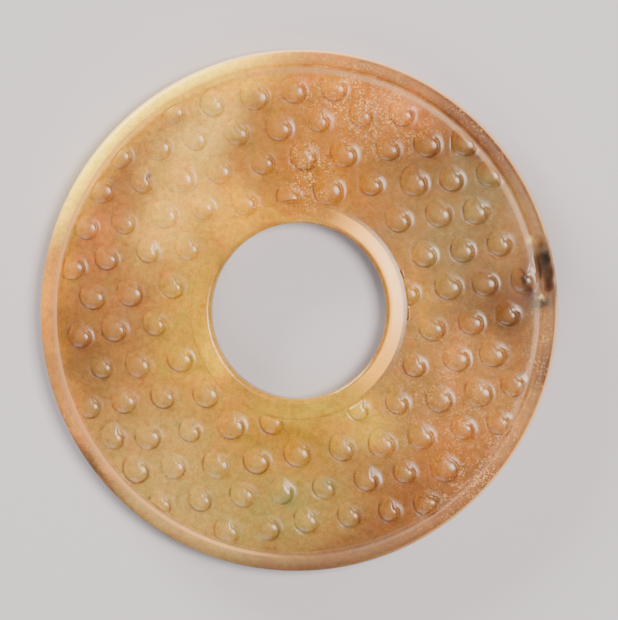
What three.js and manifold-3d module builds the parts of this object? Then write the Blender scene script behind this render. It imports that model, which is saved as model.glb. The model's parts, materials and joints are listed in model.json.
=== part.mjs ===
// A jade bi: a flat ritual disc with a round hole, both faces carved with the
// grain pattern, rows of small raised grains held between two plain rims.
//
// The disc lies on its back face. +Z is up through the carved front, the
// origin is the middle of the hole at the level of the surface it lies on,
// and every size is in millimetres.

import * as THREE from 'three';
import { mergeGeometries, mergeVertices } from 'three/addons/utils/BufferGeometryUtils.js';
import Module from 'manifold-3d';

const wasm = await Module();
wasm.setup();

// ---- driving dimensions ---------------------------------------------------

const DISC_RADIUS = 40; // mean radius of the outline
const HOLE_RADIUS = 13.5;
const THICKNESS = 4.6; // rim to rim
const SEGMENTS = 64; // facets round the outline

const OUT_OF_ROUND = 0.0065; // share by which the hand-cut outline is longer one way
const LONG_WAY = THREE.MathUtils.degToRad(65); // the direction it is longer in

const INNER_RIM_END = 16.35; // where the rim round the hole meets its line
const OUTER_RIM_START = 37.7; // where the outer rim rises from its line
const LINE_WIDTH = 0.5; // the incised line that borders each rim
const LINE_DEPTH = 0.2; // below the field
const FIELD_DEPTH = 0.45; // how far the field is ground down below the rims

const HOLE_BEVEL = 0.7; // width of the rounded edge round the hole
const EDGE_BEVEL = 1.3; // width of the rounded outer edge
const INNER_RIM_FALL = 0.2; // the rim round the hole falls this much towards the field

const GRAIN_PITCH = 6.65; // centre to centre of the grains, at the middle of the disc
const ROW_TURN = THREE.MathUtils.degToRad(7.3); // the rows' angle from +X
const ROW_START = new THREE.Vector2(-2.55, 0.2); // a grain place that the rows are laid from
const CROWDING = 0.065; // the rows close up by this share at the outer edge
const HAND_DRIFT = 0.22; // how far a grain strays from its row
const FIRST_GRAIN = 17.1; // nearest a grain's centre comes to the middle
const LAST_GRAIN = 36.5; // and the furthest it lies from it

const GRAIN_WIDE = 2.45; // a grain's radius where its curl begins
const GRAIN_NARROW = 2.0; // and where the curl comes round again
const CURL_START = THREE.MathUtils.degToRad(128);
const CREST_SHIFT = new THREE.Vector2(-0.25, -0.15); // the crest leans into the curl's bend
const GRAIN_HEIGHT = 0.48; // above the field
const GRAIN_SIDES = 9;
const SHOULDER = 0.62; // share of its radius at which a grain turns over to its crest
const SHOULDER_HEIGHT = 0.86; // share of its height there
const CUT_GRAIN_ROOM = 0.6; // a cut-off grain's crest keeps this far from the rim's line

const BACK_GRAIN_RADIUS = 2.1; // the grains of the plainer back
const BACK_GRAIN_HEIGHT = 0.38;
const BACK_GRAIN_SIDES = 6;

const FLAW_TURN = THREE.MathUtils.degToRad(8); // direction of the pitted flaw in the rim
const FLAW_RADIUS = 39.3; // distance of its middle from the disc's
const FLAW_SIZE = new THREE.Vector3(2.1, 4.6, 0.75); // half sizes: across, along, deep

// ---- worked out from them -------------------------------------------------

const FRONT_FIELD = THICKNESS - FIELD_DEPTH;
const BACK_FIELD = FIELD_DEPTH;
const FIELD_INNER = INNER_RIM_END + LINE_WIDTH;
const FIELD_OUTER = OUTER_RIM_START - LINE_WIDTH;

// ---- helpers --------------------------------------------------------------

/** One closed skin from several open ones that meet edge to edge. */
function sewn(pieces) {
  const bare = pieces.map((piece) => {
    const loose = piece.index ? piece.toNonIndexed() : piece.clone();
    loose.deleteAttribute('normal');
    loose.deleteAttribute('uv');
    return loose;
  });
  const whole = mergeGeometries(bare);
  const grid = 10000; // corners are rounded to a ten-thousandth of a millimetre
  const position = whole.attributes.position;
  for (let k = 0; k < position.array.length; k++) {
    position.array[k] = Math.round(position.array[k] * grid) / grid;
  }
  return mergeVertices(whole);
}

/** A closed skin as a solid that can be joined and cut. */
function solidOf(skin) {
  return new wasm.Manifold(new wasm.Mesh({
    numProp: 3,
    vertProperties: new Float32Array(skin.attributes.position.array),
    triVerts: new Uint32Array(skin.index.array),
  }));
}

/** The reverse: a solid as a three.js geometry. */
function geometryOf(solid) {
  const { vertProperties, triVerts } = solid.getMesh();
  const geometry = new THREE.BufferGeometry();
  geometry.setAttribute('position', new THREE.BufferAttribute(vertProperties, 3));
  geometry.setIndex(new THREE.BufferAttribute(triVerts, 1));
  geometry.computeVertexNormals();
  return geometry;
}

/** A [radius, height] outline turned round the Z axis. */
function turned(outline) {
  const points = outline.map(([radius, height]) => new THREE.Vector2(radius, height));
  return new THREE.LatheGeometry(points, SEGMENTS).rotateX(Math.PI / 2);
}

/** The corners of a circle that meets the facets of a turned skin. */
function circle(radius) {
  return Array.from({ length: SEGMENTS }, (_, k) => {
    const turn = 2 * Math.PI * k / SEGMENTS;
    return new THREE.Vector2(radius * Math.sin(turn), -radius * Math.cos(turn));
  });
}

/** A point of a face, drawn back between two circles round the middle. */
function keptBetween(point, inner, outer) {
  return point.clone().clampLength(inner, outer);
}

// ---- rims, edges and hole -------------------------------------------------

/** The outer rim's skin, from the back field out, round the edge and in again. */
function outerRim() {
  const round = 0.3 * EDGE_BEVEL;
  return turned([
    [FIELD_OUTER, BACK_FIELD],
    [OUTER_RIM_START, 0],
    [DISC_RADIUS - EDGE_BEVEL, 0],
    [DISC_RADIUS - round, round],
    [DISC_RADIUS, EDGE_BEVEL],
    [DISC_RADIUS, THICKNESS - EDGE_BEVEL],
    [DISC_RADIUS - round, THICKNESS - round],
    [DISC_RADIUS - EDGE_BEVEL, THICKNESS],
    [OUTER_RIM_START, THICKNESS],
    [OUTER_RIM_START - LINE_WIDTH / 2, FRONT_FIELD - LINE_DEPTH],
    [FIELD_OUTER, FRONT_FIELD],
  ]);
}

/** The skin of the rim round the hole, from the front field in and down the hole. */
function innerRim() {
  return turned([
    [FIELD_INNER, FRONT_FIELD],
    [INNER_RIM_END + LINE_WIDTH / 2, FRONT_FIELD - LINE_DEPTH],
    [INNER_RIM_END, THICKNESS - INNER_RIM_FALL],
    [HOLE_RADIUS + HOLE_BEVEL, THICKNESS],
    [HOLE_RADIUS, THICKNESS - HOLE_BEVEL],
    [HOLE_RADIUS, HOLE_BEVEL],
    [HOLE_RADIUS + HOLE_BEVEL, 0],
    [INNER_RIM_END, 0],
    [FIELD_INNER, BACK_FIELD],
  ]);
}

// ---- the grains and their field -------------------------------------------

/**
 * Where the grains stand: the points of one triangular lattice, row by row,
 * drawn in a little towards the edge and each a little astray, as far as the
 * rims leave room.
 */
function grainPlaces() {
  const middle = new THREE.Vector2();
  const along = new THREE.Vector2(GRAIN_PITCH, 0).rotateAround(middle, ROW_TURN);
  const across = along.clone().rotateAround(middle, Math.PI / 3);
  const reach = Math.ceil(DISC_RADIUS / GRAIN_PITCH) + 2;
  const places = [];
  for (let row = -reach; row <= reach; row++) {
    for (let step = -reach; step <= reach; step++) {
      const place = ROW_START.clone()
        .addScaledVector(along, step)
        .addScaledVector(across, row);
      const out = place.length() / DISC_RADIUS;
      place.multiplyScalar(1 - CROWDING * out * out);
      place.x += HAND_DRIFT * Math.sin(2.1 * step + 1.3 * row);
      place.y += HAND_DRIFT * Math.sin(1.7 * step - 2.3 * row + 1);
      if (place.length() > FIRST_GRAIN && place.length() < LAST_GRAIN) places.push(place);
    }
  }
  return places;
}

/** A front grain's outline: a snail curve whose radius shrinks over one turn. */
function curlOutline(place) {
  return Array.from({ length: GRAIN_SIDES }, (_, k) => {
    const share = k / (GRAIN_SIDES - 1);
    const angle = CURL_START + 0.97 * 2 * Math.PI * share;
    const radius = THREE.MathUtils.lerp(GRAIN_WIDE, GRAIN_NARROW, share);
    return new THREE.Vector2(Math.cos(angle), Math.sin(angle)).multiplyScalar(radius).add(place);
  });
}

/** A back grain's outline: a plain button. */
function buttonOutline(place) {
  return Array.from({ length: BACK_GRAIN_SIDES }, (_, k) => {
    const angle = 2 * Math.PI * k / BACK_GRAIN_SIDES;
    const arm = new THREE.Vector2(Math.cos(angle), Math.sin(angle));
    return arm.multiplyScalar(BACK_GRAIN_RADIUS).add(place);
  });
}

/** The dome over a grain's outline: two rings of facets and a crest, open below. */
function dome(outline, crest, field, height) {
  const sides = outline.length;
  const positions = [];
  for (const p of outline) positions.push(p.x, p.y, field);
  for (const p of outline) {
    const shoulder = p.clone().lerp(crest, 1 - SHOULDER);
    positions.push(shoulder.x, shoulder.y, field + SHOULDER_HEIGHT * height);
  }
  positions.push(crest.x, crest.y, field + height);

  const index = [];
  for (let k = 0; k < sides; k++) {
    const next = (k + 1) % sides;
    index.push(k, next, sides + next, k, sides + next, sides + k);
    index.push(sides + k, sides + next, 2 * sides);
  }
  const geometry = new THREE.BufferGeometry();
  geometry.setAttribute('position', new THREE.Float32BufferAttribute(positions, 3));
  geometry.setIndex(index);
  return geometry;
}

/** One carved face, looking up: the flat field, open under each grain, and the grains. */
function carvedFace(places, outlineOf, crestShift, field, height) {
  const shape = new THREE.Shape(circle(FIELD_OUTER));
  shape.holes.push(new THREE.Path(circle(FIELD_INNER)));
  const domes = places.map((place) => {
    const outline = outlineOf(place).map(
      (point) => keptBetween(point, FIELD_INNER + 0.05, FIELD_OUTER - 0.05));
    const crest = keptBetween(
      place.clone().add(crestShift), FIELD_INNER + CUT_GRAIN_ROOM, FIELD_OUTER - CUT_GRAIN_ROOM);
    shape.holes.push(new THREE.Path(outline));
    return dome(outline, crest, field, height);
  });
  return [new THREE.ShapeGeometry(shape).translate(0, 0, field), ...domes];
}

// ---- the flaw in the rim --------------------------------------------------

/** The pitted hollow where a dark flaw comes to the surface of the rim. */
function flawHollow() {
  const hollow = new THREE.IcosahedronGeometry(1, 1);
  hollow.scale(FLAW_SIZE.x, FLAW_SIZE.y, FLAW_SIZE.z);
  hollow.translate(FLAW_RADIUS, 0, THICKNESS);
  hollow.rotateZ(FLAW_TURN);
  return solidOf(sewn([hollow]));
}

// ---- the whole disc -------------------------------------------------------

/** Makes the outline very slightly oval, the way a hand-cut disc is. */
function cutByHand(geometry) {
  const position = geometry.attributes.position;
  for (let k = 0; k < position.count; k++) {
    const x = position.getX(k);
    const y = position.getY(k);
    const stretch = 1 + OUT_OF_ROUND * Math.cos(2 * (Math.atan2(y, x) - LONG_WAY));
    position.setXY(k, x * stretch, y * stretch);
  }
  return geometry;
}

function jadeDisc() {
  const places = grainPlaces();
  const front = carvedFace(places, curlOutline, CREST_SHIFT, FRONT_FIELD, GRAIN_HEIGHT);
  const turnedPlaces = places.map((place) => new THREE.Vector2(place.x, -place.y));
  const back = carvedFace(
    turnedPlaces, buttonOutline, new THREE.Vector2(), -BACK_FIELD, BACK_GRAIN_HEIGHT);
  for (const piece of back) piece.rotateX(Math.PI);
  const whole = solidOf(sewn([outerRim(), innerRim(), ...front, ...back]));
  return cutByHand(geometryOf(whole.subtract(flawHollow())));
}

const jade = new THREE.MeshStandardMaterial({ color: 0xb98d55, roughness: 0.34, metalness: 0 });

const disc = new THREE.Mesh(jadeDisc(), jade);
disc.name = 'jade_disc';

const bi = new THREE.Group();
bi.add(disc);

export default bi;
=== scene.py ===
# %% [markdown]
# # A jade bi, carved with the grain pattern
#
# A bi is a flat disc of jade with a round hole. This one has a plain rim
# round its edge and another round the hole, and between them a field of small
# raised grains, each with a comma line cut into it. It lies on its back.
#
# The lesson builds it as one closed skin, colours that skin with a procedural
# stone, and sets it under soft light. The measured solid is loaded first and
# never changed: it gives the place and the size of everything below.

# %% Load the measured solid
import json
import math

import bpy
import numpy as np
from mathutils import Matrix, Vector


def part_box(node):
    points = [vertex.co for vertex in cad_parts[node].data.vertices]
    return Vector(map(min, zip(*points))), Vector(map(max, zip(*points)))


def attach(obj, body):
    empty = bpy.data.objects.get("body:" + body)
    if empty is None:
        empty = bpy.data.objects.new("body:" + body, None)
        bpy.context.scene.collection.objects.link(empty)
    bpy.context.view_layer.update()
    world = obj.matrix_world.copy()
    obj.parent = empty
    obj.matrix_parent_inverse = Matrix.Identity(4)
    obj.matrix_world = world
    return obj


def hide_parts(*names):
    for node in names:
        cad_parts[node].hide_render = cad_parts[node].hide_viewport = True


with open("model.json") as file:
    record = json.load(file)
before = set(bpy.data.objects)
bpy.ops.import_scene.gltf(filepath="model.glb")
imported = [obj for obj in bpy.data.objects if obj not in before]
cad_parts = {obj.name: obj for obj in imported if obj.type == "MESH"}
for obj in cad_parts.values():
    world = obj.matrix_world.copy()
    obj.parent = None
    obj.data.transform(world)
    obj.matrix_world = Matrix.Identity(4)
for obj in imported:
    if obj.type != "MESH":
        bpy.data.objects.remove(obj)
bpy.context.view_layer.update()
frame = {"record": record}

low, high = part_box("jade_disc")
mounts = {mount["name"]: mount for mount in frame["record"]["mounts"]}

MM = 0.001
THICKNESS = mounts["front_rim"]["pos_m"][2] / MM
DISC_RADIUS = (high[0] - low[0] + high[1] - low[1]) / 4 / MM
print("disc radius", round(DISC_RADIUS, 2), "mm, thickness", THICKNESS, "mm")

# %% [markdown]
# ## The sizes of the carving
#
# The carver first leaves two rims standing, marks each with a thin line, and
# grinds the field between them down a little. These are the solid's sizes in
# millimetres, but for three that only the skin has room to show: the lines
# are worn shallower, the field sinks a little beside the outer one, and the
# inner rim's top falls outwards a little more.

# %% Sizes of the rims, the field and the grains
HOLE_RADIUS = 0.3375 * DISC_RADIUS
OUT_OF_ROUND = 0.0065
LONG_WAY = math.radians(65)

INNER_RIM_END = 16.35
OUTER_RIM_START = 37.7
LINE_WIDTH = 0.5
FIELD_DEPTH = 0.45
HOLE_BEVEL = 0.7
EDGE_BEVEL = 1.3

LINE_DEPTH = 0.13
EDGE_SAG = 0.1
INNER_RIM_FALL = 0.35

FRONT_FIELD = THICKNESS - FIELD_DEPTH
BACK_FIELD = FIELD_DEPTH
FIELD_INNER = INNER_RIM_END + LINE_WIDTH
FIELD_OUTER = OUTER_RIM_START - LINE_WIDTH

GRAIN_PITCH = 6.65
ROW_TURN = math.radians(7.3)
ROW_START = np.array([-2.55, 0.2])
CROWDING = 0.065
HAND_DRIFT = 0.22
FIRST_GRAIN = 17.1
LAST_GRAIN = 36.5

GRAIN_WIDE = 2.45
GRAIN_NARROW = 2.0
CURL_START = math.radians(128)
GRAIN_HEIGHT = 0.48
BACK_GRAIN_RADIUS = 2.1
BACK_GRAIN_HEIGHT = 0.38

rng = np.random.default_rng(17)

# %% [markdown]
# ## Where the grains stand
#
# The grains stand on one triangular lattice, drawn in a little towards the
# edge and each a little astray, because a hand laid them out. A whole number
# of steps and rows names each place. The formula takes arrays, so every
# grain is worked out at once.

# %% The lattice
def arm(angle):
    """The unit vectors at these angles, with x and y on the last axis."""
    return np.stack([np.cos(angle), np.sin(angle)], axis=-1)


def grain_place(step, row):
    """Start + step * along + row * across, then shrunk by the crowding times
    the square of its share of the radius, then moved by two slow waves."""
    along = GRAIN_PITCH * arm(ROW_TURN)
    across = GRAIN_PITCH * arm(ROW_TURN + math.pi / 3)
    place = ROW_START + step[..., None] * along + row[..., None] * across
    out = np.linalg.norm(place, axis=-1, keepdims=True) / 40
    place = place * (1 - CROWDING * out**2)
    sway = np.stack([
        np.sin(2.1 * step + 1.3 * row),
        np.sin(1.7 * step - 2.3 * row + 1),
    ], axis=-1)
    return place + HAND_DRIFT * sway


def has_grain(place):
    """True where a place lies between the two rims."""
    out = np.linalg.norm(place, axis=-1)
    return (out > FIRST_GRAIN) & (out < LAST_GRAIN)


reach = int(DISC_RADIUS / GRAIN_PITCH) + 3
step, row = np.meshgrid(np.arange(-reach, reach + 1), np.arange(-reach, reach + 1))
step, row = step.ravel(), row.ravel()
kept = has_grain(grain_place(step, row))
step, row = step[kept], row[kept]
centres = grain_place(step, row)
GRAINS = len(centres)
print(GRAINS, "grains on each face")

# %% [markdown]
# ## One cell of the field round each grain
#
# Each grain owns the ground that is nearer to it than to its neighbours: a
# hexagon, whose corners are the middles of the triangles that three grains
# make. Where a neighbour is missing, the cell reaches to the rim, so its
# corners there are moved onto the rim's circle. Together the cells cover the
# whole field with no gap, and neighbours share their corners exactly.

# %% The corners of the cells
AROUND = np.array([[1, 0], [0, 1], [-1, 1], [-1, 0], [0, -1], [1, -1]])
NEXT = np.roll(AROUND, -1, axis=0)

near_step = step[:, None] + AROUND[:, 0]
near_row = row[:, None] + AROUND[:, 1]
near = grain_place(near_step, near_row)
near_kept = has_grain(near)

corner = (centres[:, None] + near + np.roll(near, -1, axis=1)) / 3
corner_name = np.stack([
    3 * step[:, None] + AROUND[:, 0] + NEXT[:, 0],
    3 * row[:, None] + AROUND[:, 1] + NEXT[:, 1],
], axis=-1)
at_rim = ~(near_kept & np.roll(near_kept, -1, axis=1))
outer_side = np.linalg.norm(corner, axis=-1) > (FIELD_INNER + FIELD_OUTER) / 2


def evened(angles, rounds=3):
    """Angles round a circle, each drawn towards the middle of its two neighbours."""
    order = np.argsort(angles)
    ring = angles[order]
    for _ in range(rounds):
        before = np.concatenate([[ring[-1] - 2 * np.pi], ring[:-1]])
        after = np.concatenate([ring[1:], [ring[0] + 2 * np.pi]])
        ring = 0.5 * ring + 0.25 * (before + after)
    result = np.empty_like(angles)
    result[order] = ring
    return result


corner_angle = np.arctan2(corner[..., 1], corner[..., 0])
for side, radius in ((outer_side, FIELD_OUTER), (~outer_side, FIELD_INNER)):
    here = at_rim & side
    _, first, back_to = np.unique(
        corner_name[here], axis=0, return_index=True, return_inverse=True)
    settled = evened(corner_angle[here][first])[back_to.ravel()]
    corner_angle[here] = settled
    corner[here] = radius * arm(settled)
print(int(at_rim.sum()), "corners moved onto the rims' circles")

# %% [markdown]
# ## The edge of a cell
#
# Every cell's edge is walked once round in the same number of steps. Between
# two grains the edge is straight. Along a rim it follows the circle, so that
# the rim can be joined on with no gap.

# %% Points along the cells' edges
PER_SIDE = 7
COLUMNS = 6 * PER_SIDE

share = np.arange(PER_SIDE) / PER_SIDE
start, end = np.roll(corner, 1, axis=1), corner
straight = start[:, :, None] + (end - start)[:, :, None] * share[:, None]

start_angle, end_angle = np.roll(corner_angle, 1, axis=1), corner_angle
swing = (end_angle - start_angle + np.pi) % (2 * np.pi) - np.pi
arc_angle = start_angle[..., None] + swing[..., None] * share
along_rim = ~near_kept
rim_radius = np.where(outer_side, FIELD_OUTER, FIELD_INNER)
curved = rim_radius[..., None, None] * arm(arc_angle)

edge = np.where(along_rim[..., None, None], curved, straight).reshape(GRAINS, COLUMNS, 2)
outer_angles = np.sort(arc_angle[along_rim & outer_side].ravel() % (2 * np.pi))
inner_angles = np.sort(arc_angle[along_rim & ~outer_side].ravel() % (2 * np.pi))
print(len(outer_angles), "points along the outer rim,", len(inner_angles), "along the inner")

# %% [markdown]
# ## The shape of a grain
#
# A grain is a low dome. Round it a comma line is cut: it begins outside the
# dome at its upper left, runs down and round below it, and climbs on to the
# dome, where it curls over a small pearl. In the grain's own polar
# coordinates that line is a spiral: its radius falls evenly with the angle.
#
# Every grain differs a little from the next, as hand work does.

# %% The spiral and the dome as functions of angle and radius
CURL_LENGTH = math.radians(305)
CURL_FIRST = 2.55
CURL_LAST = 0.95
CURL_DEPTH = 0.15
CURL_HALF_WIDTH = 0.15

grain_size = 1 + 0.05 * rng.standard_normal(GRAINS)
grain_height = GRAIN_HEIGHT * (1 - 0.14 * rng.random(GRAINS))
curl_turn = CURL_START + math.radians(14) * rng.standard_normal(GRAINS)
curl_depth = CURL_DEPTH * (0.65 + 0.6 * rng.random(GRAINS))
curl_last = CURL_LAST * (0.85 + 0.4 * rng.random(GRAINS))
pearl_share = 0.25 + 0.35 * rng.random(GRAINS)


def smooth(x, start, end):
    """0 before start, 1 after end, and an S-shaped rise between."""
    t = np.clip((x - start) / (end - start), 0, 1)
    return t * t * (3 - 2 * t)


def curl_share(angle, turn):
    """How far along the comma an angle lies: 0 at its start, 1 at its end,
    and back to 0 over the gap that closes the turn."""
    gone = (angle - turn) % (2 * np.pi)
    back = smooth(gone, CURL_LENGTH, 2 * np.pi)
    return np.minimum(gone / CURL_LENGTH, 1) * (1 - back)


def curl_strength(angle, turn, full_at):
    """The comma's strength: from nothing to full at this share of its
    length, then dying away near its end."""
    gone = (angle - turn) % (2 * np.pi) / CURL_LENGTH
    return smooth(gone, 0, full_at) * (1 - smooth(gone, 0.84, 1))


def dome_height(distance, footprint, fullness=2.3, roundness=0.9):
    """A rounded top that falls to nothing at the footprint's edge:
    (1 - q^fullness)^roundness, where q is the distance over the radius."""
    q = np.clip(distance / footprint, 0, 1)
    return (1 - q**fullness) ** roundness


def ripples(x, y, wave, seed, count=7):
    """A smooth random surface between about -1 and 1: the mean of a few sine
    waves of roughly one length in random directions."""
    own = np.random.default_rng(seed)
    total = np.zeros_like(x)
    for _ in range(count):
        heading, phase = own.random(2) * 2 * np.pi
        k = 2 * np.pi / (wave * (0.7 + 0.6 * own.random()))
        total += np.sin(k * (x * math.cos(heading) + y * math.sin(heading)) + phase)
    return total / math.sqrt(count)


# %% [markdown]
# ## The skin of the field
#
# The cell is now a grid. Its columns run from the grain's middle to the
# points along the cell's edge. Its rings follow the comma: five lie in the
# cut, and the rest share out the pearl inside it and the ground outside it.

# %% Rings of points round every grain
RINGS_INSIDE = (0.34, 0.6, 0.8)
RINGS_IN_CUT = (-0.17, -0.08, 0, 0.08, 0.17)
RINGS_OUTSIDE = (0.15, 0.33, 0.55, 0.78, 0.94, 1)
PRESSED_TOGETHER = 0.045
PEARL_OVER_COMMA = 1.05
DOME_FULLNESS = 1.7
MOAT_AT, MOAT_HALF_WIDTH, MOAT_DEPTH = 0.12, 0.28, 0.015


def rings_round(centre_points, edges, targets):
    """Points on rings round each centre: the wanted distances, but never
    past the cell's edge, where the rings press together in order."""
    away = edges - centre_points[:, None]
    length = np.linalg.norm(away, axis=-1)
    count = targets.shape[1]
    limit = length[:, None] * (1 - PRESSED_TOGETHER * np.arange(count - 1, -1, -1)[:, None])
    distance = np.minimum(targets, limit)
    distance[:, -1] = length
    heading = away / length[..., None]
    points = centre_points[:, None, None] + heading[:, None] * distance[..., None]
    points[:, -1] = edges
    return points, distance


def open_ground(points):
    """1 on the field and 0 at its two edges, where everything flattens out."""
    out = np.linalg.norm(points, axis=-1)
    return smooth(FIELD_OUTER - out, 0, 0.35) * smooth(out - FIELD_INNER, 0, 0.3)


def front_field():
    """Place, lift, grime and crest of the front field's points, ring by ring:
    lift = height * dome - depth * cut - moat, flattened at the rims."""
    away = edge - centres[:, None]
    angle = np.arctan2(away[..., 1], away[..., 0])
    length = np.linalg.norm(away, axis=-1)
    turn = curl_turn[:, None]
    size = grain_size[:, None]
    along = curl_share(angle, turn)
    comma = size * (CURL_FIRST + (curl_last[:, None] - CURL_FIRST) * along)
    footprint = size * (GRAIN_WIDE + (GRAIN_NARROW - GRAIN_WIDE) * along)

    inside = [comma * share for share in RINGS_INSIDE]
    cut = [comma + beside for beside in RINGS_IN_CUT]
    spare = np.maximum(length - comma - RINGS_IN_CUT[-1], 0.3)
    outside = [comma + RINGS_IN_CUT[-1] + spare * share for share in RINGS_OUTSIDE]
    targets = np.stack(inside + cut + outside, axis=1)
    points, distance = rings_round(centres, edge, targets)

    share = pearl_share[:, None, None]
    pearl = dome_height(distance, comma[:, None] * PEARL_OVER_COMMA, DOME_FULLNESS, 1)
    base = dome_height(distance, footprint[:, None], DOME_FULLNESS, 1)
    dome = (1 - share) * base + share * pearl
    beyond = distance - comma[:, None]
    groove = np.exp(-(beyond / CURL_HALF_WIDTH) ** 2)
    cut_shape = groove * curl_strength(angle, turn, 0.55)[:, None]
    dirt = groove * curl_strength(angle, turn, 0.15)[:, None]
    moat = np.exp(-((distance - footprint[:, None] - MOAT_AT) / MOAT_HALF_WIDTH) ** 2)
    ground = open_ground(points)

    lift = grain_height[:, None, None] * dome
    lift -= curl_depth[:, None, None] * cut_shape
    lift -= MOAT_DEPTH * moat
    lift[:, -1] = 0
    lift *= ground
    grime = np.clip(dirt + 0.25 * moat, 0, 1) * ground
    return points, lift, grime, dome * ground


def back_field():
    """The same for the back: plain buttons with a soft moat round them."""
    away = edge - centres[:, None]
    length = np.linalg.norm(away, axis=-1)
    radius = BACK_GRAIN_RADIUS * grain_size[::-1, None]
    buttons = [share * radius + 0 * length for share in (0.5, 0.85, 1.08)]
    targets = np.stack([*buttons, length], axis=1)
    points, distance = rings_round(centres, edge, targets)
    dome = dome_height(distance, radius[:, None])
    moat = np.exp(-((distance - radius[:, None]) / 0.3) ** 2)
    ground = open_ground(points)
    lift = (BACK_GRAIN_HEIGHT * dome - 0.03 * moat) * ground
    lift[:, -1] = 0
    return points, lift, moat * ground, dome * ground


# %% [markdown]
# ## The skin of the rims
#
# A rim is one profile carried round the disc. Its columns stand at the very
# angles at which the cells' edges meet the circle, so the two skins share
# their points. The outer rim's profile runs over the edge to the back field,
# and the inner one's down the wall of the hole.

# %% Profiles of the rims
def s_curve(radius_from, z_from, radius_to, z_to, count):
    """A slope between two points, level at both: the share of the height is
    3t^2 - 2t^3."""
    t = np.linspace(0, 1, count)
    r = radius_from + (radius_to - radius_from) * t
    return np.stack([r, z_from + (z_to - z_from) * smooth(t, 0, 1)], axis=1)


def quarter(radius_from, z_from, radius_to, z_to, count):
    """A rounded corner: a quarter of an ellipse between two points, level at
    the first and upright at the second."""
    t = np.linspace(0, np.pi / 2, count)
    r = radius_from + (radius_to - radius_from) * np.sin(t)
    z = z_to + (z_from - z_to) * np.cos(t)
    return np.stack([r, z], axis=1)


def outer_profile():
    """From the front field over the rim and the edge to the back field. The
    first point is the field's own edge, which sinks with the field later."""
    bottom = FRONT_FIELD - LINE_DEPTH
    foot = s_curve(FIELD_OUTER, FRONT_FIELD - EDGE_SAG, FIELD_OUTER + 0.22, bottom, 3)
    foot[0, 1] = FRONT_FIELD
    wall = s_curve(FIELD_OUTER + 0.28, bottom, OUTER_RIM_START + 0.35, THICKNESS, 7)
    top = quarter(DISC_RADIUS - EDGE_BEVEL, THICKNESS, DISC_RADIUS, THICKNESS - EDGE_BEVEL, 7)
    middle = np.array([[DISC_RADIUS, THICKNESS / 2]])
    below = quarter(DISC_RADIUS - EDGE_BEVEL, 0, DISC_RADIUS, EDGE_BEVEL, 5)[::-1]
    step_up = s_curve(OUTER_RIM_START, 0, OUTER_RIM_START - FIELD_DEPTH, BACK_FIELD, 3)
    last = np.array([[FIELD_OUTER, BACK_FIELD]])
    return np.concatenate([foot, wall, top, middle, below, step_up, last])


def inner_profile():
    """From the front field over the rim and down the wall of the hole. The
    rim's top is a cone that falls outwards."""
    slope_end = INNER_RIM_END - 0.1
    foot = s_curve(FIELD_INNER, FRONT_FIELD, slope_end, THICKNESS - INNER_RIM_FALL, 5)
    cone_start = HOLE_RADIUS + HOLE_BEVEL + 0.15
    share = np.array([0.3, 0.65, 0.97])[:, None]
    cone_low = np.array([[slope_end, THICKNESS - INNER_RIM_FALL]])
    cone = cone_low + share * (np.array([[cone_start, THICKNESS]]) - cone_low)
    top = quarter(HOLE_RADIUS + HOLE_BEVEL, THICKNESS, HOLE_RADIUS, THICKNESS - HOLE_BEVEL, 5)
    middle = np.array([[HOLE_RADIUS, THICKNESS / 2]])
    below = quarter(HOLE_RADIUS + HOLE_BEVEL, 0, HOLE_RADIUS, HOLE_BEVEL, 4)[::-1]
    step_up = s_curve(INNER_RIM_END, 0, INNER_RIM_END + FIELD_DEPTH, BACK_FIELD, 3)
    last = np.array([[FIELD_INNER, BACK_FIELD]])
    return np.concatenate([foot, cone, top, middle, below, step_up, last])


print(len(outer_profile()), "points in the outer profile,", len(inner_profile()), "in the inner")

# %% [markdown]
# ## Sewing the skins into one
#
# Each skin numbers its own points. Points that lie at the same place are
# then made one, and the corners of the faces are renumbered to suit.

# %% Faces of a grid, and the sewing
skins = []


def add_skin(points, quads, triangles, grime, crest):
    """Keep one skin, with its own point numbers, for the sewing."""
    skins.append((points, quads, triangles, grime, crest))


def grid_quads(ids, flip):
    """The quads of a grid of point numbers whose columns close on themselves."""
    here, right = ids, np.roll(ids, -1, axis=-1)
    corners = [here[..., :-1, :], here[..., 1:, :], right[..., 1:, :], right[..., :-1, :]]
    if flip:
        corners.reverse()
    return np.stack(corners, axis=-1).reshape(-1, 4)


def add_field(made, level, flip):
    """One field: the ring points of every grain, and its middle point."""
    points, lift, grime, crest = made
    direction = -1 if flip else 1
    ring_count = points.shape[1]
    z = level + direction * lift
    flat = np.concatenate([points, z[..., None]], axis=-1).reshape(-1, 3)
    top = lift[:, 0].max(axis=1) + 0.004
    poles = np.concatenate([centres, (level + direction * top)[:, None]], axis=1)
    ids = np.arange(GRAINS * ring_count * COLUMNS).reshape(GRAINS, ring_count, COLUMNS)
    pole_ids = ids.size + np.arange(GRAINS)
    first, second = ids[:, 0], np.roll(ids[:, 0], -1, axis=1)
    fan = [np.broadcast_to(pole_ids[:, None], first.shape), first, second]
    if flip:
        fan.reverse()
    triangles = np.stack(fan, axis=-1).reshape(-1, 3)
    add_skin(
        np.concatenate([flat, poles]), grid_quads(ids, flip), triangles,
        np.concatenate([grime.ravel(), np.zeros(GRAINS)]),
        np.concatenate([crest.ravel(), np.ones(GRAINS)]))


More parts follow.
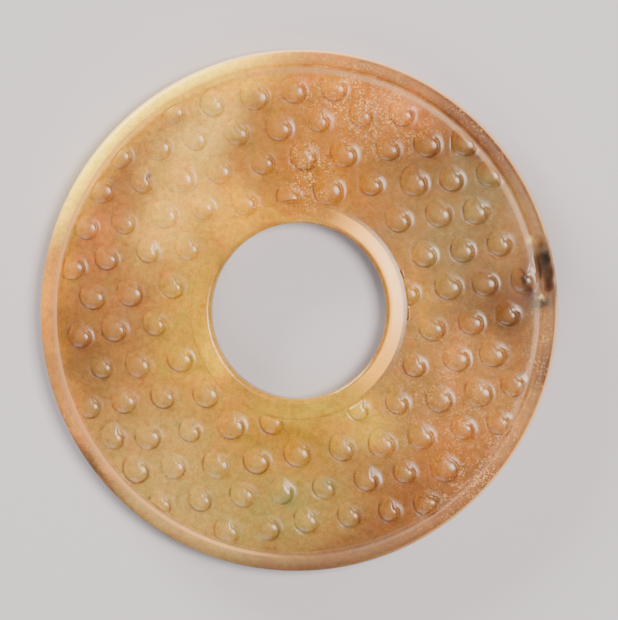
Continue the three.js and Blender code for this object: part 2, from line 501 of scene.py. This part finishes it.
def add_rim(profile, angles, flip, line_rows):
    """One rim: the profile at every angle. The cut line's rows hold grime."""
    r, z = profile[:, 0, None], profile[:, 1, None]
    x, y = r * np.cos(angles), r * np.sin(angles)
    points = np.stack([x, y, z + 0 * x], axis=-1).reshape(-1, 3)
    ids = np.arange(r.size * angles.size).reshape(r.size, angles.size)
    grime = np.zeros(r.size)
    grime[:line_rows] = 0.5 * np.sin(np.linspace(0, np.pi, line_rows + 1))[:-1]
    grime = np.repeat(grime, angles.size)
    add_skin(points, grid_quads(ids, flip), np.zeros((0, 3), int), grime, 0 * grime)


add_field(front_field(), FRONT_FIELD, flip=False)
add_field(back_field(), BACK_FIELD, flip=True)
add_rim(outer_profile(), outer_angles, flip=False, line_rows=7)
add_rim(inner_profile(), inner_angles, flip=True, line_rows=3)


def sewn(parts):
    """All skins as one: points rounded to a millionth of a millimetre and
    merged, and the faces renumbered."""
    offsets = np.cumsum([0] + [len(p[0]) for p in parts])
    points = np.concatenate([p[0] for p in parts])
    quads = np.concatenate([p[1] + o for p, o in zip(parts, offsets)])
    triangles = np.concatenate([p[2] + o for p, o in zip(parts, offsets)])
    keys = np.round(points * 1e6).astype(np.int64)
    _, first, number = np.unique(keys, axis=0, return_index=True, return_inverse=True)
    number = number.ravel()
    grime = np.concatenate([p[3] for p in parts])[first]
    crest = np.concatenate([p[4] for p in parts])[first]
    return points[first], number[quads], number[triangles], grime, crest


points, quads, triangles, grime, crest = sewn(skins)
print(len(points), "points,", 2 * len(quads) + len(triangles), "triangles")

# %% [markdown]
# In a closed skin every edge lies between exactly two faces. So both of these
# counts must be nought.

# %% Check that the skin is closed
def face_edges(faces):
    """The pairs of point numbers along the faces' edges."""
    return np.stack([faces, np.roll(faces, -1, axis=1)], axis=-1).reshape(-1, 2)


def edge_counts(quads, triangles):
    """How many edges belong to one face only, and how many to more than two."""
    pairs = np.sort(np.concatenate([face_edges(quads), face_edges(triangles)]), axis=1)
    _, count = np.unique(pairs, axis=0, return_counts=True)
    return int((count == 1).sum()), int((count > 2).sum())


print("open edges and crowded edges:", edge_counts(quads, triangles))


# %% [markdown]
# ## What the hand and the ground did to it
#
# No face of a hand-ground disc is quite flat, its outline is very slightly
# oval, and on its right edge a dark flaw has weathered into a shallow pit.
# These are moves of the finished skin, worked out from where each point is.

# %% Moving the skin
WORN_AT = math.radians(131)
FLAW_TURN = math.radians(10)
FLAW_RADIUS = 38.5
FLAW_ACROSS, FLAW_ALONG, FLAW_DEPTH = 1.35, 4.2, 0.8
SLOW_WAVE, QUICK_WAVE, WAVE_SINK = 0.028, 0.012, 0.04
SAG_REACH = 1.3
A_HAIR = 1e-6

x, y, z = points.T
height_share = z / THICKNESS
turn = np.arctan2(y, x)
from_axis = np.hypot(x, y)

wave = SLOW_WAVE * ripples(x, y, 17, seed=3) + QUICK_WAVE * ripples(x, y, 5, seed=4)
wave_room = smooth(FIELD_OUTER - from_axis, 0, 1.5) * smooth(from_axis - FIELD_INNER, 0, 1)
z = z + (wave - WAVE_SINK) * wave_room * (2 * height_share - 1)

in_field = (from_axis < FIELD_OUTER + A_HAIR) & (from_axis > FIELD_INNER)
sag = (1 - smooth(FIELD_OUTER - from_axis, 0, SAG_REACH)) * in_field
z = z - EDGE_SAG * sag * smooth(height_share, 0.4, 0.6)

worn = smooth(np.cos(turn - WORN_AT), 0.75, 0.95) * (from_axis > FIELD_OUTER)
z = z + 0.8 * LINE_DEPTH * grime * worn * (z > THICKNESS / 2)

flaw_x = x * math.cos(FLAW_TURN) + y * math.sin(FLAW_TURN) - FLAW_RADIUS
flaw_y = y * math.cos(FLAW_TURN) - x * math.sin(FLAW_TURN)
reach_share = (flaw_x / FLAW_ACROSS) ** 2 + (flaw_y / FLAW_ALONG) ** 2
torn = 0.3 * ripples(x, y, 2.6, seed=8) * (reach_share > 0.1)
flaw = np.clip(1.1 - reach_share + torn, 0, 1) * smooth(height_share, 0.3, 0.8)
z = z - FLAW_DEPTH * flaw**0.8 * (1 + 0.12 * ripples(x, y, 1.1, seed=9))

oval = 1 + OUT_OF_ROUND * np.cos(2 * (turn - LONG_WAY))
points = np.stack([x * oval, y * oval, np.clip(z, 0, high[2] / MM)], axis=1)
print("the flaw moves", int((flaw > 0.05).sum()), "points")

# %% [markdown]
# ## The mesh
#
# The finished arrays go into a mesh in metres. Its attributes carry what the
# carving knows and the finish needs: where dirt collects, how high on a grain
# a point lies, how deep in the flaw, and how far from the middle.

# %% Make the disc
for name in ("Cube", "Light", "Camera"):
    if name in bpy.data.objects:
        bpy.data.objects.remove(bpy.data.objects[name])

mesh = bpy.data.meshes.new("carved_jade")
mesh.from_pydata((points * MM).tolist(), [], quads.tolist() + triangles.tolist())
mesh.polygons.foreach_set("use_smooth", np.ones(len(mesh.polygons), dtype=bool))
CARRIED = {"grime": grime, "crest": crest, "flaw": flaw, "radius": from_axis}
for name, values in CARRIED.items():
    attribute = mesh.attributes.new(name, "FLOAT", "POINT")
    attribute.data.foreach_set("value", values.astype(np.float32))
mesh.update()

disc = bpy.data.objects.new("carved_jade", mesh)
bpy.context.collection.objects.link(disc)
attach(disc, "root")
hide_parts("jade_disc")
print(len(mesh.vertices), "points and", len(mesh.polygons), "faces in the disc")

# %% [markdown]
# ## A small language for finishes
#
# A finish is arithmetic on sockets. A `Wire` holds one socket. Adding,
# taking away, multiplying or dividing wires adds the Math node that does it,
# and `node` adds any other node: its type, its settings, then its inputs.

# %% Wires
class Wire:
    """One output of a node; arithmetic on it makes Math nodes."""

    def __init__(self, tree, socket=None):
        self.tree = tree
        self.socket = socket

    def node(self, kind, settings=None, inputs=None, output=0):
        """Add a node and give the wire of one of its outputs. Each input is
        named or numbered, and takes a wire, a number or a colour."""
        made = self.tree.nodes.new(kind)
        for name, value in (settings or {}).items():
            setattr(made, name, value)
        for name, value in (inputs or {}).items():
            if isinstance(value, Wire):
                self.tree.links.new(value.socket, made.inputs[name])
            else:
                made.inputs[name].default_value = value
        return Wire(self.tree, made.outputs[output])

    def math(self, operation, *values):
        """A Math node of this operation, fed with wires and numbers."""
        return self.node("ShaderNodeMath", {"operation": operation}, dict(enumerate(values)))

    def __add__(self, other):
        return self.math("ADD", self, other)

    def __sub__(self, other):
        return self.math("SUBTRACT", self, other)

    def __rsub__(self, other):
        return self.math("SUBTRACT", other, self)

    def __mul__(self, other):
        return self.math("MULTIPLY", self, other)

    def __truediv__(self, other):
        return self.math("DIVIDE", self, other)

    def __rtruediv__(self, other):
        return self.math("DIVIDE", other, self)

    __radd__ = __add__
    __rmul__ = __mul__


# %% [markdown]
# These few helpers make every mask and colour below. All distances are in
# millimetres.

# %% Masks and colours from wires
def rise(wire, start, end):
    """0 before start, 1 after end, S-shaped between; it falls if end is
    less than start."""
    return wire.node(
        "ShaderNodeMapRange", {"interpolation_type": "SMOOTHSTEP"},
        {"Value": wire, "From Min": start, "From Max": end})


def vector(operation, first, *others, output=0):
    """A Vector Math node, numbered inputs in order."""
    return first.node("ShaderNodeVectorMath", {"operation": operation},
                      dict(enumerate([first, *others])), output)


def noise(place, size, detail=2, seed=0, output=0):
    """Clouds about `size` millimetres across, from about 0.25 to 0.75."""
    moved = vector("ADD", place, (13.7 * seed, 29.3 * seed, 7.1 * seed))
    inputs = {"Vector": moved, "Scale": 1 / size, "Detail": detail}
    return place.node("ShaderNodeTexNoise", {}, inputs, output)


def wander(place, size, amount, seed):
    """The place moved up to half of `amount` mm by clouds of this size."""
    clouds = noise(place, size, detail=2, seed=seed, output=1)
    half = -amount / 2
    drift = vector("MULTIPLY_ADD", clouds, (amount, amount, 0), (half, half, 0))
    return vector("ADD", place, drift)


THROUGH = 1000


def blot(place, at, half_sizes, turn=0):
    """A soft oval: exp(-d^2), with d the distance from its middle counted in
    its own half sizes, once it is turned by so many degrees."""
    own = place.node("ShaderNodeMapping", {"vector_type": "TEXTURE"}, {
        "Vector": place,
        "Location": (*at, 0),
        "Rotation": (0, 0, math.radians(turn)),
        "Scale": (*half_sizes, THROUGH),
    })
    distance = vector("LENGTH", own, output=1)
    power = distance * distance * -1
    return power.math("EXPONENT", power)


MIX_SHARE, MIX_FIRST, MIX_SECOND, MIX_RESULT = 0, 6, 7, 2


def mix(share, first, second, blend="MIX"):
    """A colour mix: the first colour at 0, the second (blended) at 1."""
    settings = {"data_type": "RGBA", "blend_type": blend}
    inputs = {MIX_SHARE: share, MIX_FIRST: first, MIX_SECOND: second}
    return share.node("ShaderNodeMix", settings, inputs, MIX_RESULT)


def laid_over(colour, layers, where):
    """The colour with soft ovals laid over it one by one: each layer has a
    name, a middle, half sizes, a turn in degrees, a colour and a strength."""
    for _, at, half_sizes, turned, shade, strength in layers:
        colour = mix(blot(where, at, half_sizes, turned) * strength, colour, (*shade, 1))
    return colour


def new_material(name):
    """An empty material with its Principled shader, and a wire to build on."""
    material = bpy.data.materials.new(name)
    material.use_nodes = True
    return material, Wire(material.node_tree), material.node_tree.nodes["Principled BSDF"]


# %% [markdown]
# ## The colours of the stone
#
# The stone is a pale greenish nephrite that the ground has stained through
# and through. What is left of its own colour shows as grey-green clouds; the
# rest is honey, amber and, along the upper right edge, russet. The stains are
# soft ovals laid over each other. Before they are looked up, the place is
# made to wander, so no edge of theirs stays smooth.

# %% Where things are on the stone
jade, start, shader = new_material("stained_jade")
mesh.materials.append(jade)

coordinates = start.node("ShaderNodeTexCoord", output=3)
place = coordinates.node("ShaderNodeVectorMath", {"operation": "SCALE"}, {0: coordinates, 3: 1 / MM})
x_mm = place.node("ShaderNodeSeparateXYZ", {}, {0: place}, 0)
y_mm = place.node("ShaderNodeSeparateXYZ", {}, {0: place}, 1)
always = start.math("ADD", 1, 0)


def carried(name):
    """The wire of one of the mesh's attributes."""
    return start.node("ShaderNodeAttribute", {"attribute_name": name}, output=2)


from_middle = carried("radius")
cut = carried("grime")
top = carried("crest")
pit = carried("flaw")

cloudy = wander(wander(place, 11, 12, seed=1), 3, 3.2, seed=2)
ragged = wander(wander(place, 2.6, 2.2, seed=3), 0.7, 0.7, seed=4)


def facing(degrees):
    """The cosine of the angle between a place's direction from the middle
    and this one: 1 straight towards it, 0 square to it."""
    a = math.radians(degrees)
    return (x_mm * math.cos(a) + y_mm * math.sin(a)) / from_middle


# %% Stains through the body
TAN = (0.20, 0.088, 0.020, 1)

STAINS = [
    ("amber of the left side", (-31, 8), (10, 20), 10, (0.215, 0.080, 0.020), 0.9),
    ("red-brown of the left edge", (-35, -9), (6, 11), 12, (0.072, 0.025, 0.010), 0.95),
    ("olive of the lower left", (-17, -27), (19, 12), -28, (0.33, 0.205, 0.045), 0.9),
    ("greener olive at the bottom", (-3, -29), (12, 8), 0, (0.20, 0.148, 0.028), 0.85),
    ("honey round the hole", (-9, -7), (13, 17), 40, (0.40, 0.190, 0.008), 0.7),
    ("honey left of the hole", (-16, 1), (5.5, 12), 0, (0.35, 0.190, 0.006), 0.8),
    ("celadon streak, upper half", (-15, 26), (5.5, 11), -16, (0.52, 0.32, 0.060), 1.0),
    ("celadon streak, lower half", (-19, 14.5), (5.5, 9), -22, (0.56, 0.295, 0.034), 0.9),
    ("gold above the hole", (-9, 15.5), (6, 5), 30, (0.58, 0.27, 0.001), 0.9),
    ("orange of the top", (3, 22), (10, 10), 0, (0.28, 0.098, 0.003), 1.0),
    ("gold of the top edge", (-9, 37), (11, 4), 14, (0.66, 0.32, 0.001), 0.95),
    ("pink of the top edge", (6, 35), (8, 5), -8, (0.43, 0.135, 0.003), 0.85),
    ("brown of the upper right", (21, 26), (8, 7), -40, (0.098, 0.032, 0.005), 0.8),
    ("pink of the upper right", (16.5, 31), (4.5, 4), -20, (0.52, 0.165, 0.022), 0.75),
    ("grey-green of the right", (25, 13), (7, 9), -25, (0.155, 0.100, 0.032), 0.9),
    ("tan right of the hole", (19, 1), (4.5, 12), 0, (0.225, 0.116, 0.020), 0.9),
    ("brown of the right", (32, -1), (5, 7), 0, (0.054, 0.020, 0.005), 0.9),
    ("pink of the lower right", (27, -12), (7.5, 8), 0, (0.26, 0.108, 0.020), 0.85),
    ("rose of the lower right", (24, -22), (6, 6), 0, (0.30, 0.094, 0.006), 0.8),
    ("amber of the lower right", (18, -31), (12, 6), 35, (0.145, 0.048, 0.008), 0.9),
    ("honey below the hole", (-2, -18), (9, 5), 8, (0.25, 0.115, 0.001), 0.9),
    ("celadon below the hole", (9, -15.5), (6, 4), -35, (0.44, 0.265, 0.012), 0.9),
    ("brown of the bottom edge", (3, -39), (16, 4), 4, (0.115, 0.050, 0.017), 0.9),
    ("russet of the upper right edge", (29, 28), (16, 4.5), -45, (0.090, 0.021, 0.003), 1.0),
    ("russet spot on the right edge", (38, -12), (2.5, 5), 0, (0.035, 0.008, 0.004), 0.95),
    ("russet of the lower right edge", (31, -26), (3.5, 9), -50, (0.17, 0.050, 0.010), 0.7),
    ("pink right of the hole", (25, -6.5), (3.5, 4), 0, (0.36, 0.135, 0.022), 0.6),
    ("grey-green near the upper right edge", (27.5, 20), (3, 5), 40, (0.125, 0.090, 0.030), 0.75),
    ("gold of the hole's left edge", (-12.8, -6.5), (1.6, 4), 25, (0.66, 0.36, 0.002), 0.8),
    ("celadon under the hole", (1, -15), (6, 1.8), 0, (0.44, 0.28, 0.010), 0.7),
    ("amber beside the cream edge", (-31, 13.5), (3, 4), 0, (0.36, 0.120, 0.020), 0.7),
    ("tan patch of the left", (-25, 0), (3.5, 5), 0, (0.16, 0.066, 0.022), 0.6),
    ("gold right of the hole", (18.3, 1.5), (1.8, 5), 0, (0.38, 0.155, 0.012), 0.7),
    ("olive-brown of the right", (28, 4), (3, 4), 0, (0.115, 0.062, 0.023), 0.6),
    ("gold over the hole", (1, 15.4), (5, 1.4), 0, (0.45, 0.22, 0.001), 0.7),
    ("pale skin of the right edge", (36, -19), (4, 6), -20, (0.30, 0.125, 0.020), 0.8),
    ("honey of the left edge", (-38.5, 3), (3, 12), 0, (0.50, 0.190, 0.003), 0.95),
    ("pale amber of the lower left edge", (-35, -18), (3, 10), 25, (0.38, 0.142, 0.018), 0.9),
]

colour = start.node("ShaderNodeRGB")
colour.socket.default_value = TAN
colour = laid_over(colour, STAINS, cloudy)
print(len(STAINS), "stains laid over the tan")

# %% [markdown]
# The upper left edge was least stained: it is paler, cream going over to gold on its inner side. Its
# colour there is also painted brighter, a painted glow for the light that soaks into the thin edge
# and shines off it.

# %% The cream edge, and its painted glow
upper_left = rise(facing(131), 0.78, 0.97)
gold_and_glow_arc = rise(from_middle, 34.5, 38) * upper_left
cream_and_glow_arc = rise(from_middle, 36.6, 39) * upper_left
# paler stone on the upper left edge, brightened further by painted glow
colour = mix(gold_and_glow_arc * 0.85, colour, (0.62, 0.31, 0.02, 1))
colour = mix(cream_and_glow_arc * 0.95, colour, (1.0, 0.70, 0.03, 1))

# %% [markdown]
# ## Clouds, dirt and dust
#
# Inside each stain the stone is cloudy at every scale. Three layers of clouds
# lighten and darken it, and two more turn it a little greener or redder.

# %% Clouds inside the stains
broad = noise(place, 5, detail=5, seed=5)
fine = noise(place, 0.9, detail=4, seed=6)
grain = noise(place, 0.3, detail=3, seed=13)
hue = noise(place, 3.2, detail=4, seed=7)
fine_hue = noise(place, 0.8, detail=4, seed=14)

shade = broad * 0.46 + fine * 0.82 + grain * 0.82
grey = shade.node("ShaderNodeCombineXYZ", {}, {0: shade, 1: shade, 2: shade})
colour = mix(always, colour, grey, "MULTIPLY")

GREENER, REDDER = (0.84, 1.05, 1.15, 1), (1.14, 0.86, 0.78, 1)
for clouds, strength in ((hue, 0.6), (fine_hue, 0.5)):
    colour = mix(rise(clouds, 0.48, 0.75) * strength, colour, GREENER, "MULTIPLY")
    colour = mix(rise(clouds, 0.5, 0.25) * strength, colour, REDDER, "MULTIPLY")

# %% [markdown]
# Dirt has stayed in some stretches of the cuts and was handled out of others.
# The tops of the grains are painted a little paler: partly rubbed wear, partly a painted highlight
# where the light falls on them.

# %% Dirt in the cuts, and grain tops paler with rubbing and a painted highlight
in_places = rise(noise(place, 2.4, detail=3, seed=8), 0.3, 0.62)
stained_cut = rise(cut, 0.05, 0.9) * in_places * (1 - 0.7 * upper_left)
colour = mix(stained_cut, colour, (0.50, 0.37, 0.29, 1), "MULTIPLY")
# grain tops: rubbed paler, with a painted highlight
colour = mix(rise(top, 0.5, 1) * 0.12, colour, (0.60, 0.36, 0.14, 1))

# %% [markdown]
# Pale dust clings to the skin in grains of a quarter of a millimetre, thickest
# at the top right and along the lower right edge.

# %% Pale dust on the skin
DUSTY = [
    ("top right", (10, 32), (9, 6), -20, 1.0),
    ("above the hole", (2, 21), (3.5, 6), 0, 0.9),
    ("lower right edge", (31, -26), (6, 12), -45, 1.0),
    ("right edge", (38, -10), (2.6, 14), 0, 0.6),
    ("upper right edge", (28, 30), (14, 2.5), -45, 0.7),
    ("lower left edge", (-34, -21), (12, 2.6), -55, 0.8),
    ("lower right field", (22, -14), (9, 12), 0, 0.35),
]

dusty = start.math("ADD", 0, 0)
for _, at, half_sizes, turned, strength in DUSTY:
    dusty = dusty.math("MAXIMUM", dusty, blot(ragged, at, half_sizes, turned) * strength)
grit = rise(noise(place, 0.3, detail=3, seed=9), 0.54, 0.60)
patches = rise(noise(place, 1.7, detail=3, seed=10), 0.38, 0.6)
dust = dusty * (grit * patches)
colour = mix(dust * 0.7, colour, (0.72, 0.40, 0.13, 1))

# %% [markdown]
# Where light falls on the rims, bands are painted paler as painted highlights: a band beside the
# outer line at the upper right, the top of the inner rim on its right side, the wall of the outer
# line at the left, and the very edge of the disc. The wall of that line at the upper right lies in
# shade and is painted lighter as painted light.

# %% Painted highlights along the rims
def band(inner_start, inner_full, outer_full, outer_end):
    """A ring round the disc: it comes up between the first two radii and goes
    away between the last two."""
    return rise(from_middle, inner_start, inner_full) * rise(from_middle, outer_end, outer_full)


upper_right = rise(facing(38), 0.25, 0.75)
# masks of the painted highlights, where the key light catches the rims
highlight_by_outer_line = band(36.2, 36.7, 37.1, 37.35) * upper_right
wall_light_upper_right = band(37.3, 37.5, 37.9, 38.1) * upper_right
hole_rim_highlight = band(14.0, 14.3, 16.1, 16.35) * rise(facing(7), 0.35, 0.75)
edge_highlight = rise(from_middle, 39.45, 39.85) * rise(facing(40), -0.6, 0.3)
highlight_on_left_wall = band(37.3, 37.6, 37.8, 38.1) * rise(facing(195), 0.2, 0.6)

# paint the highlights on the rims, and painted light on the shaded wall of the line
colour = mix(highlight_by_outer_line * 0.5, colour, (0.45, 0.26, 0.13, 1))
colour = mix(wall_light_upper_right, colour, (1.3, 1.3, 1.3, 1), "MULTIPLY")
colour = mix(hole_rim_highlight * 0.8, colour, (0.95, 0.45, 0.03, 1))
colour = mix(edge_highlight * 0.7, colour, (0.85, 0.55, 0.30, 1))
colour = mix(highlight_on_left_wall * 0.6, colour, (0.70, 0.36, 0.14, 1))

# %% [markdown]
# ## Marks of their own
#
# The flaw on the right edge is black-brown, with a red-brown part below it
# and a smooth mauve tongue that reaches into the field. Two green stains lie
# in the lower field, one black speck in the upper, and burial dirt sits on the
# lower left edge.

# %% The flaw, and the stains round it
MARKS = [
    ("brown ground beside the flaw", (33.6, 2.4), (2.2, 3.2), 0, (0.120, 0.050, 0.022), 0.75),
    ("brown round the flaw", (36.8, 5.5), (2.6, 5.0), 8, (0.085, 0.034, 0.014), 0.8),
    ("olive-grey above the tongue", (35.9, 9.2), (0.9, 1.0), 0, (0.18, 0.12, 0.06), 0.7),
    ("olive-grey below the tongue", (36.2, 1.2), (1.0, 0.9), 0, (0.11, 0.072, 0.035), 0.8),
    ("dark curve left of the tongue", (34.9, 4.9), (0.45, 1.8), 12, (0.022, 0.008, 0.005), 0.95),
    ("dark curve under the tongue", (36.0, 2.9), (1.2, 0.35), -20, (0.030, 0.010, 0.006), 0.9),
    ("brown grain beside the flaw", (35.2, 2.0), (1.0, 0.9), 0, (0.035, 0.014, 0.008), 0.85),
    ("mauve tongue", (36.4, 5.2), (0.75, 1.9), 8, (0.22, 0.105, 0.060), 0.95),
    ("black-brown of the flaw", (37.9, 8.0), (1.25, 2.6), 12, (0.008, 0.005, 0.003), 1.0),
    ("red-brown part of the flaw", (38.75, 4.4), (0.95, 2.2), 5, (0.045, 0.010, 0.004), 1.0),
    ("green-black foot of the flaw", (37.9, 1.4), (1.3, 0.8), 10, (0.018, 0.014, 0.008), 0.9),
    ("green fleck above the flaw", (35.5, 11.0), (0.6, 0.45), 0, (0.50, 0.36, 0.12), 0.9),
    ("green fleck below the flaw", (37.3, 2.2), (0.35, 0.45), 0, (0.50, 0.40, 0.16), 0.9),
    ("green stain on a grain", (-1.4, -28.9), (1.2, 1.4), 0, (0.07, 0.13, 0.045), 0.55),
    ("second green stain", (4.4, -26.6), (0.9, 0.8), 0, (0.10, 0.13, 0.05), 0.5),
    ("black speck", (-22.8, 21.1), (0.35, 0.45), 0, (0.01, 0.01, 0.008), 0.9),
    ("dirt on the lower left edge", (-31.5, -24.0), (6.5, 0.9), -51, (0.03, 0.012, 0.006), 0.8),
]

colour = laid_over(colour, MARKS, ragged)
colour = mix(rise(pit, 0.2, 0.9) * 0.5, colour, (0.008, 0.005, 0.003, 1))

# %% [markdown]
# The field and the grains are well polished. The worn rim, the dust, the dirty
# cuts and the flaw are duller. A faint bump breaks up the light, and a little
# light passes under the skin.

# %% Connect the finish of the jade
worn_rim = rise(from_middle, 36.9, 37.3) * (1 - 0.7 * upper_left)
polish = 0.16 + 0.16 * noise(place, 1.4, detail=4, seed=11)
for dull, by in ((dust, 0.4), (worn_rim, 0.35), (pit, 0.6), (stained_cut, 0.15)):
    polish = polish + by * dull

relief = noise(place, 0.5, detail=5, seed=12) * 0.5 + broad * 0.5 + dust * 0.6
bump = relief.node(
    "ShaderNodeBump", {}, {"Strength": 0.25, "Distance": 0.05 * MM, "Height": relief})

links = jade.node_tree.links
links.new(colour.socket, shader.inputs["Base Color"])
links.new(polish.socket, shader.inputs["Roughness"])
links.new(bump.socket, shader.inputs["Normal"])
shader.inputs["Subsurface Weight"].default_value = 0.4
shader.inputs["Subsurface Radius"].default_value = (1.0, 0.5, 0.2)
shader.inputs["Subsurface Scale"].default_value = 0.4 * MM
shader.inputs["IOR"].default_value = 1.5
shader.inputs["Specular IOR Level"].default_value = 0.38
print(len(jade.node_tree.nodes), "nodes in the jade")

# %% [markdown]
# ## The view
#
# The camera looks almost straight down on the disc, from well away, so that
# every grain is seen from the same side. It leans a little to the right and
# above, so the wall of the hole shows at its lower left.

# %% Camera
VIEW_WIDTH = 2.382 * DISC_RADIUS * MM
LENS, SENSOR = 250, 36
HEIGHT_OVER_WIDTH = 1.00324
LEAN = math.radians(3)
OFF_CENTRE = Vector((0.0390, 0.0023, 0))

middle = Vector(((low[0] + high[0]) / 2, (low[1] + high[1]) / 2, high[2] / 2))
sideways = math.sin(LEAN) * math.sqrt(0.5)
sight = Vector((sideways, sideways, math.cos(LEAN)))
rightward = Vector((0, 1, 0)).cross(sight).normalized()
upward = sight.cross(rightward)
aim = middle + OFF_CENTRE * DISC_RADIUS * MM

camera = bpy.data.objects.new("camera", bpy.data.cameras.new("camera"))
camera.data.lens = LENS
camera.data.sensor_width = SENSOR
camera.location = aim + sight * VIEW_WIDTH * HEIGHT_OVER_WIDTH * LENS / SENSOR
camera.rotation_euler = Matrix((rightward, upward, sight)).transposed().to_euler()
bpy.context.collection.objects.link(camera)
bpy.context.scene.camera = camera
print("the camera is", round(camera.location.z, 3), "m up")

# %% [markdown]
# A large softbox high on the right puts one highlight on the right side of
# every grain. A small low lamp at the upper left lights the cream edge, and a
# weak broad one fills in the shade from below. A pale even world does the rest.

# %% Lights
def softbox(name, azimuth, elevation, far, width, height, power, colour):
    """A rectangular lamp that looks at the disc from this direction."""
    lamp = bpy.data.objects.new(name, bpy.data.lights.new(name, "AREA"))
    lamp.data.shape = "RECTANGLE"
    lamp.data.size = width
    lamp.data.size_y = height
    lamp.data.energy = power
    lamp.data.color = colour
    a, e = math.radians(azimuth), math.radians(elevation)
    way = Vector((math.cos(a) * math.cos(e), math.sin(a) * math.cos(e), math.sin(e)))
    lamp.location = middle + way * far
    lamp.rotation_euler = way.to_track_quat("Z", "Y").to_euler()
    bpy.context.collection.objects.link(lamp)


softbox("key", 14, 64, 1.2, 0.5, 0.5, 32, (1, 0.88, 0.77))
softbox("rim_light", 131, 13, 0.8, 0.4, 0.15, 18, (1, 0.93, 0.85))
softbox("fill", 250, 38, 1.2, 0.8, 0.8, 10, (1, 0.95, 0.9))

world = bpy.data.worlds.new("studio")
world.use_nodes = True
background = world.node_tree.nodes["Background"]
background.inputs["Color"].default_value = (0.80, 0.78, 0.80, 1)
background.inputs["Strength"].default_value = 0.25
bpy.context.scene.world = world

# %% [markdown]
# The disc lies on a wide plain floor of pale paper.

# %% Floor
FLOOR_REACH = 3.0
floor_corners = [
    (-FLOOR_REACH, -FLOOR_REACH, 0),
    (FLOOR_REACH, -FLOOR_REACH, 0),
    (FLOOR_REACH, FLOOR_REACH, 0),
    (-FLOOR_REACH, FLOOR_REACH, 0),
]
floor_mesh = bpy.data.meshes.new("floor")
floor_mesh.from_pydata(floor_corners, [], [(0, 1, 2, 3)])
floor = bpy.data.objects.new("floor", floor_mesh)
bpy.context.collection.objects.link(floor)

paper, _, paper_shader = new_material("pale_paper")
floor_mesh.materials.append(paper)
paper_shader.inputs["Base Color"].default_value = (0.42, 0.41, 0.46, 1)
paper_shader.inputs["Roughness"].default_value = 0.9
